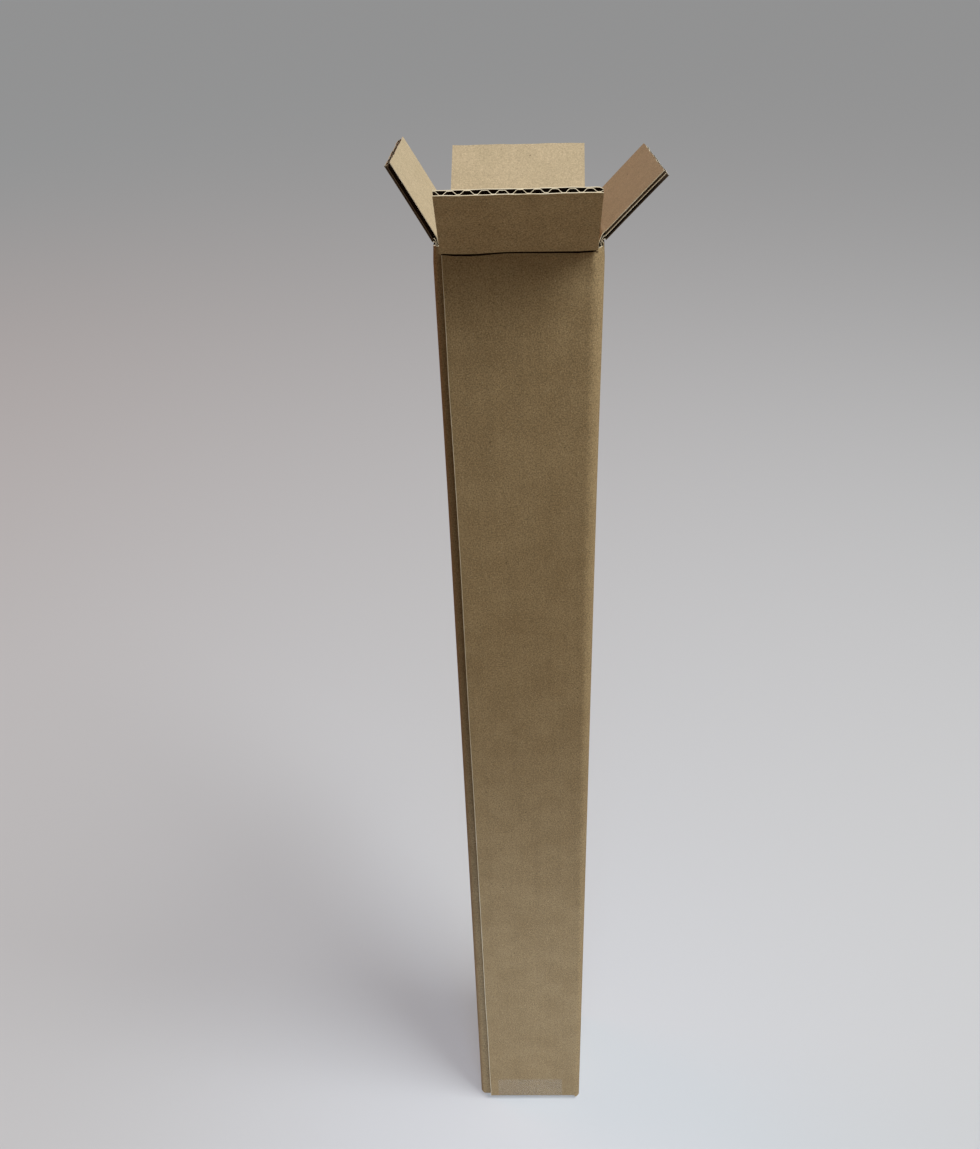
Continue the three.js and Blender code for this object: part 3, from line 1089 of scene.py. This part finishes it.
@dataclass
class TopFlap:
    """One open top flap.

    Attributes:
        name: the piece's name.
        node: the solid that it stands for.
        body: the body that it is.
        wall: the wall that it hangs on.
        blank: the folded blank.
        tilt: how far it leans out from upright, in degrees.
        skew: how far its free end has shifted in X and Y, as a share of its length.
        twist: how much further each end leans out, in degrees.
        extra: how much longer each end was cut.
        pinch: how far from its last corner the free end is pinched thin.
        pinched: how much of its thickness is gone there.
        side: what the outer liner's cut side edges show.
        medium_side: what the wavy paper's cut side edges show.
        curl: how far its free end bows outward.
        length: from the crease to the free end.
        grain: the distance between columns of its meshes.
        shares: where the rows of its meshes lie, as shares of its length.
        knife: the free end's wander, each as its size, its span and its share of the phase.
        phases: the knife's phases in the outer liner, the inner liner and the wavy paper.
        medium_inset: how far the wavy paper ends short of the liners.
        overhang: how far the front flap reaches past the raw edge's top.
    """

    name: str
    node: str
    body: str
    wall: Wall
    blank: Blank
    tilt: float
    skew: Pair
    twist: Pair = (0.0, 0.0)
    extra: Pair = (0.0, 0.0)
    pinch: float = 0.0
    pinched: float = 0.4
    # painted shade: by default the outer liner's cut side edges take the dark flute paper, standing
    # in for their shade
    side: Skin = Skin.SHADED_FLUTE
    medium_side: Skin = Skin.CUT
    curl: float = 0.3
    length: float = 34.7
    grain: float = 1.3
    shares: tuple[float, ...] = (0, 0.02, 0.06, 0.12, 0.22, 0.36, 0.5, 0.64, 0.78, 0.9, 0.97, 1)
    knife: tuple[tuple[float, float, float], ...] = ((0.1, 4.3, 1.0), (0.06, 1.7, 3.0))
    phases: tuple[float, float, float] = (1.0, 2.3, 4.0)
    medium_inset: float = 0.12
    overhang: float = 0.6

    def columns(self, low: float) -> Array:
        """Lists evenly spaced columns from a place along the blank to the flap's end."""
        return np.linspace(low, self.wall.high, round((self.wall.high - low) / self.grain) + 1)

    def between(self, distance: Array, ends: Pair) -> Array:
        """Runs a value evenly from the flap's one end to its other."""
        return np.interp(distance, (self.wall.low, self.wall.high), ends)

    def place(self, distance: Array, up: Array, depth: Array) -> Array:
        """Gives places on the flap.

        Args:
            distance: along the blank.
            up: from the crease towards the free end.
            depth: below the board's outer face.

        Returns:
            The places, in the standing box.
        """
        share = np.clip(up / self.length, 0, 1)
        if self.pinch:
            near = smooth((distance - self.wall.high + self.pinch) / self.pinch)
            depth = depth * (1 - self.pinched * near * smooth(3 * share - 2))
        lean = np.radians(self.tilt + self.between(distance, self.twist) * smooth(6 * share))
        out = up * np.sin(lean) - depth * np.cos(lean)
        rise = up * np.cos(lean) + depth * np.sin(lean)
        bow = self.curl * share ** 2
        out = out + bow * np.cos(lean)
        rise = rise - bow * np.sin(lean)
        plan = self.wall.plan(distance, -out) + up[..., None] * np.array(self.skew)
        return self.blank.settle(self.wall.solid(plan, self.wall.crease + rise))

    def free_end(self, distance: Array, phase: float) -> Array:
        """Gives the length at each place, with the knife's slight wander."""
        wander = sum(size * np.sin(distance / span + share * phase)
                     for size, span, share in self.knife)
        return self.length + wander + self.between(distance, self.extra)

    def skin(self, columns: Array, depth: float, phase: float) -> Array:
        """Gives one face of a liner as a lattice.

        Args:
            columns: along the blank.
            depth: below the board's outer face.
            phase: which wander the knife has at the free end.

        Returns:
            The lattice's points.
        """
        start = self.blank.clearance(depth) + self.wall.stray(columns)
        end = self.free_end(columns, phase)
        below = np.full(columns.shape, depth)
        return np.array([
            self.place(columns, start + (end - start) * share, below) for share in self.shares])

    def build(self, medium: FlutedMedium, finishes: BoardFinishes) -> bpy.types.Object:
        """Builds the flap and declares what it stands for.

        Args:
            medium: the maker of its wavy paper.
            finishes: its papers.

        Returns:
            The flap's object.
        """
        low = max(self.wall.low, self.blank.raw_edge[0] - self.overhang)
        columns = self.columns(low)
        board = self.blank.board
        # painted shade: each liner's face toward the wavy paper takes the dark flute paper, as the
        # shade inside the flutes
        papers = (
            (board.outer_liner, self.phases[0], (Skin.OUTER, Skin.SHADED_FLUTE, Skin.CUT), self.side),
            (board.inner_liner, self.phases[1], (Skin.SHADED_FLUTE, Skin.INNER, Skin.CUT), Skin.CUT),
        )
        sheets = Sheets()
        for (near, far), phase, skins, side in papers:
            sheets.add_slab(self.skin(columns, near, phase), self.skin(columns, far, phase),
                            None, skins, side)

        def fit(points: Array) -> Array:
            """Places a flat sheet's points in the flap.

            Args:
                points: the flat points.

            Returns:
                Their places.
            """
            share = np.interp(points[:, 1], np.linspace(0, 1, len(self.shares)), self.shares)
            start = self.blank.crease_gap + points[:, 2] + self.wall.stray(points[:, 0])
            end = self.free_end(points[:, 0], self.phases[2]) - self.medium_inset
            return self.place(points[:, 0], start + (end - start) * share, points[:, 2])

        flat = medium.sheet(low, self.wall.high, len(self.shares))
        sheets.add_sheet(*flat, fit, self.medium_side)
        piece = sheets.build(self.name, finishes)
        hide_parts(self.node)
        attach(piece, self.body)
        LOG.info("%s: %d faces", piece.name, len(piece.data.polygons))
        return piece

    def section(self, depth: float, gap: float, middle: float, steps: int) -> Array:
        """Draws the crushed board's path round the inside of the crease, in section.

        Args:
            depth: the face's depth in the full board.
            gap: how far the full board stays from the crease line.
            middle: how far from the crease line the path passes half way.
            steps: how many pieces the path has.

        Returns:
            Points as (inward, up) from the crease line.
        """
        lean = math.radians(self.tilt)
        up = gap + depth
        first = np.array([depth, -up])
        last = np.array([depth * math.cos(lean) - up * math.sin(lean),
                         up * math.cos(lean) + depth * math.sin(lean)])
        angles = [math.atan2(first[1], first[0]), math.atan2(last[1], last[0])]
        t = np.linspace(0, 1, steps + 1)
        size = math.hypot(*first)
        angle = angles[0] + (angles[1] - angles[0]) * t
        radius = size - (size - middle) * np.sin(math.pi * t)
        return np.stack([radius * np.cos(angle), radius * np.sin(angle)], axis=-1)

    def build_crease(self, finishes: BoardFinishes) -> bpy.types.Object:
        """Builds the crushed board that bends at the crease.

        Args:
            finishes: its papers.

        Returns:
            The crease's object.
        """
        low = max(self.wall.low, self.blank.raw_edge[0])
        columns = self.columns(low)
        board, gap = self.blank.board, self.blank.crease_gap
        half = board.thickness / 2
        # painted shade: the crushed outer liner's outside face takes the dark flute paper, as the
        # shade in the crease's groove; its cut ends show the outer liner
        papers = (
            ((0.3, gap, 0.95), (0.6, gap, 1.2), (Skin.SHADED_FLUTE, Skin.SHADED_FLUTE, Skin.OUTER)),
            ((half - 0.1, gap, 1.4), (half + 0.2, gap, 1.65),
             (Skin.SHADED_FLUTE, Skin.SHADED_FLUTE, Skin.CUT)),
            ((board.inner_liner[0], gap, 2.05), (board.thickness, gap, 2.4),
             (Skin.SHADED_FLUTE, Skin.INNER, Skin.CUT)),
        )
        sheets = Sheets()
        stray = self.wall.stray(columns)
        for near, far, skins in papers:
            faces = []
            for path in (self.section(*near, 8), self.section(*far, 8)):
                rows = [self.wall.solid(self.wall.plan(columns, np.full(columns.shape, inward)),
                                        self.wall.crease + up + stray)
                        for inward, up in path[::-1]]
                faces.append(self.blank.settle(np.array(rows)))
            sheets.add_slab(*faces, None, skins)
        piece = sheets.build(self.name + "_crease", finishes)
        ends = self.section(board.thickness, gap, 2.4, 2)
        middle = Vector(self.cross(np.zeros(2)))
        chord = Vector(self.cross(ends[2])) - Vector(self.cross(ends[0]))
        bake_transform(piece)
        LOG.info("%s: %d faces", piece.name, len(piece.data.polygons))
        return piece

    def cross(self, place: Array) -> tuple[float, float, float]:
        """Turns a step from the crease's middle into a place.

        Args:
            place: how far inward and up.

        Returns:
            The place, in metres.
        """
        centre = np.array([(self.wall.low + self.wall.high) / 2])
        plan = self.wall.plan(centre, np.array([place[0]]))[0] * MM
        return plan[0], plan[1], (self.wall.crease + place[1]) * MM


@dataclass
class BottomTape:
    """The strip of clear tape that holds the bottom shut.

    Attributes:
        blank: the folded blank that it sticks to.
        width: across the strip.
        rise: how far it comes up the front and the back.
        thickness: of the film.
        stand: how far its inner face stands off the board.
        columns: how many points its mesh has across the strip.
        arc_steps: how many pieces each fold has.
    """

    blank: Blank
    width: float
    rise: float
    thickness: float = 0.1
    stand: float = 0.02
    columns: int = 24
    arc_steps: int = 8

    def path(self, offset: float) -> list[Pair]:
        """Draws one face of the front half of the strip in section.

        Args:
            offset: how far the face stands off the strip's inner face.

        Returns:
            Points as (Y, Z), from the upper end to the bottom's edge.
        """
        blank = self.blank
        half, r = blank.width / 2, blank.foot_radius
        radius = r + self.stand
        centre = (r - half, blank.inner_floor + r)
        edge = blank.slot - half
        across, down = edge - centre[0], centre[1] - self.thickness
        leave = math.atan2(down, -across) - math.acos(radius / math.hypot(across, down))
        points = [(-half - self.stand - offset, z) for z in np.linspace(self.rise, centre[1], 6)]
        reach = radius + offset
        for step in range(1, self.arc_steps + 1):
            angle = leave * step / self.arc_steps
            points.append((centre[0] - reach * math.cos(angle), centre[1] - reach * math.sin(angle)))
        slant = offset * math.tan((QUARTER - leave) / 2)
        points.append((edge - slant, self.thickness - offset))
        return points

    def face(self, offset: float) -> Array:
        """Gives one face of the whole strip as a lattice.

        Args:
            offset: how far the face stands off the strip's inner face.

        Returns:
            The lattice's points.
        """
        front = self.path(offset)
        across = np.linspace(-self.width / 2, self.width / 2, self.columns)
        line = front + [(-y, z) for y, z in reversed(front)]
        return np.array([[(x, y, z) for x in across] for y, z in line])

    def build(self) -> bpy.types.Object:
        """Builds the strip and declares what it stands for.

        Returns:
            The strip's object.
        """
        sheets = Sheets()
        sheets.add_slab(self.face(self.thickness), self.face(0), None,
                        (Skin.OUTER, Skin.OUTER, Skin.OUTER))
        piece = sheets.build("bottom_tape_film", None)
        piece.data.materials.append(ClearTape().build())
        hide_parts("bottom_tape")
        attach(piece, "carton")
        LOG.info("%s: %d faces", piece.name, len(piece.data.polygons))
        return piece


@dataclass(frozen=True)
class Lamp:
    """A soft rectangular lamp that looks at a place on the box.

    Attributes:
        name: the lamp's name.
        place: where it is, in metres.
        target: where it looks, in metres.
        size: its width and height in metres.
        power: in watts.
        colour: its sRGB hex colour.
        spread: the angle of its beam, in degrees.
    """

    name: str
    place: tuple[float, float, float]
    target: tuple[float, float, float]
    size: Pair
    power: float
    colour: str = "ffffff"
    spread: float = 180.0

    def build(self) -> None:
        """Puts the lamp in the scene."""
        data = bpy.data.lights.new(self.name, "AREA")
        data.shape = "RECTANGLE"
        data.size, data.size_y = self.size
        data.energy = self.power
        data.spread = math.radians(self.spread)
        data.color = srgb(self.colour)[:3]
        lamp = put(self.name, data)
        lamp.location = self.place
        aim = Vector(self.target) - Vector(self.place)
        lamp.rotation_euler = aim.to_track_quat("-Z", "Y").to_euler()


@dataclass
class Studio:
    """The room: a pale floor, an even sky, the lamps and the camera.

    Attributes:
        focal: the lens in millimetres on a 36 mm wide sensor.
        eye: where the camera is, in millimetres.
        yaw: how far it looks to the right of straight back, in degrees.
        pitch: how far it looks down.
        roll: how far it is turned on its axis.
        sky: the colour of the light from all round.
        sky_strength: how strong that light is.
        far_sky: the colour that the camera sees behind the floor.
        floor: the floor's colour as it lights the box.
        shadow_floor: the part of the floor's seen colour that takes the shadow.
        backdrop: the part of the floor's seen colour that is even.
        floor_reach: how far the floor goes from the box, in metres.
        lamps: the lamps.
    """

    focal: float = 37.378
    eye: tuple[float, float, float] = (-2.26, -453.62, 709.76)
    yaw: float = -1.897
    pitch: float = 32.157
    roll: float = -1.954
    sky: str = "ffd49c"
    sky_strength: float = 0.055
    far_sky: str = "9a9c9f"
    floor: str = "dcd6cc"
    shadow_floor: str = "a8a8a8"
    backdrop: str = "8c8e90"
    floor_reach: float = 60.0
    lamps: tuple[Lamp, ...] = (
        Lamp("window_lamp", (0.8, -0.42, 1.95), (0.0, 0.0, 0.45), (0.8, 0.8), 41.5, "f5fbff"),
        Lamp("warm_lamp", (-2.1, 0.9, 2.0), (0.0, 0.0, 0.5), (1.2, 1.2), 10.5, "ff8538"),
        Lamp("low_lamp", (0.05, -0.6, 0.3), (0.0, -0.035, 0.04), (0.3, 0.2), 0.32, "c6dcff", 60.0),
    )

    def build(self) -> None:
        """Builds the whole room."""
        self.build_floor()
        self.build_sky()
        for lamp in self.lamps:
            lamp.build()
        self.build_camera()
        bpy.context.scene.view_settings.view_transform = "Standard"

    @staticmethod
    def seen(tree: Tree) -> Socket:
        """Tells what the camera sees, straight or in a gloss, from what lights the box.

        Args:
            tree: the node tree.

        Returns:
            The socket of 1 for what is seen and 0 for what lights.
        """
        path = add(tree, "ShaderNodeLightPath").outputs
        value = path["Is Camera Ray"]
        for name in ("Is Glossy Ray", "Is Transmission Ray"):
            value = maths(tree, "MAXIMUM", value, path[name])
        return value

    def build_floor(self) -> None:
        """Lays the floor that the box stands on."""
        mesh = bpy.data.meshes.new("studio_floor")
        far = self.floor_reach
        mesh.from_pydata([(-far, -far, 0), (far, -far, 0), (far, far, 0), (-far, far, 0)], [],
                         [(0, 1, 2, 3)])
        material = bpy.data.materials.new("pale_floor")
        tree = bare_tree(material)
        shader = add(tree, "ShaderNodeBsdfDiffuse", {}, {"Color": srgb(self.floor)})
        dimmed = add(tree, "ShaderNodeBsdfDiffuse", {}, {"Color": srgb(self.shadow_floor)})
        glow = add(tree, "ShaderNodeEmission", {}, {"Color": srgb(self.backdrop)})
        shown = add(tree, "ShaderNodeAddShader", {}, {0: glow.outputs[0], 1: dimmed.outputs[0]})
        mixed = add(tree, "ShaderNodeMixShader", {}, {
            0: self.seen(tree), 1: shader.outputs[0], 2: shown.outputs[0],
        })
        add(tree, "ShaderNodeOutputMaterial", {}, {"Surface": mixed.outputs[0]})
        mesh.materials.append(material)
        floor = put("studio_floor", mesh)

    def build_sky(self) -> None:
        """Lights the room evenly from all round."""
        world = bpy.data.worlds.new("studio_sky")
        tree = bare_tree(world)
        glow = add(tree, "ShaderNodeBackground", {}, {
            "Color": srgb(self.sky), "Strength": self.sky_strength,
        })
        shown = add(tree, "ShaderNodeBackground", {}, {"Color": srgb(self.far_sky)})
        mixed = add(tree, "ShaderNodeMixShader", {}, {
            0: self.seen(tree), 1: glow.outputs[0], 2: shown.outputs[0],
        })
        add(tree, "ShaderNodeOutputWorld", {}, {"Surface": mixed.outputs[0]})
        bpy.context.scene.world = world

    def build_camera(self) -> None:
        """Sets the camera to the view of the photograph."""
        yaw, pitch, roll = (math.radians(a) for a in (self.yaw, self.pitch, self.roll))
        ahead = Vector((math.sin(yaw) * math.cos(pitch), math.cos(yaw) * math.cos(pitch),
                        -math.sin(pitch)))
        level = Vector((math.cos(yaw), -math.sin(yaw), 0))
        upward = level.cross(ahead)
        right = math.cos(roll) * level + math.sin(roll) * upward
        up = math.cos(roll) * upward - math.sin(roll) * level
        data = bpy.data.cameras.new("photo_camera")
        data.sensor_fit = "HORIZONTAL"
        data.sensor_width = 36
        data.lens = self.focal
        camera = put("photo_camera", data)
        turned = Matrix((right, up, -ahead)).transposed()
        camera.matrix_world = Matrix.Translation(Vector(self.eye) * MM) @ turned.to_4x4()
        bpy.context.scene.camera = camera


def rest_tilts(frame: dict) -> dict[str, float]:
    """Reads how far each flap leans out at rest: its range ends at a shut, level flap.

    Args:
        frame: the loaded frame.

    Returns:
        The lean from upright in degrees, by body name.
    """
    return {joint["child"]: -joint["range_deg"][0] - 90 for joint in frame["joints"]}


def main() -> None:
    """Builds the box and its room."""
    logging.basicConfig(level=logging.INFO, format="%(name)s: %(message)s")
    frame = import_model()
    low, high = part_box("carton_body")
    creases = {joint["child"]: joint["pos_m"][2] / MM for joint in frame["joints"]}
    tilts = rest_tilts(frame)
    blank = Blank((high[0] - low[0]) / MM, creases["front_flap"], creases["left_flap"], Board())
    finishes = BoardFinishes()
    medium = FlutedMedium(blank.board, finishes.materials[Skin.SHADED_FLUTE])
    Carton(blank, medium, finishes).build()
    # painted shade: on the left and right flaps the outer liner's cut side edges, and on the left
    # flap the wavy paper's side edges, take the dark flute paper as their shade
    sides = {
        "front": {"skew": (-0.006, 0.0), "twist": (-1.2, -0.6), "pinch": 1.8, "side": Skin.CUT},
        "back": {"skew": (0.029, 0.0), "extra": (0.4, 1.0), "side": Skin.CUT},
        "left": {"skew": (0.0, 0.1), "twist": (0.0, -0.3), "medium_side": Skin.SHADED_FLUTE},
        "right": {"skew": (0.0, -0.06), "twist": (-0.3, -0.4), "extra": (0.0, -0.8)},
    }
    for side, shape in sides.items():
        flap = TopFlap(f"{side}_top_flap", f"top_flap_{side}", f"{side}_flap",
                       getattr(blank, side), blank, tilts[f"{side}_flap"], **shape)
        flap.build(medium, finishes)
        flap.build_crease(finishes)
    tape_low, tape_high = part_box("bottom_tape")
    BottomTape(blank, (tape_high[0] - tape_low[0]) / MM, tape_high[2] / MM).build()
    Studio().build()


if __name__ == "__main__":
    main()
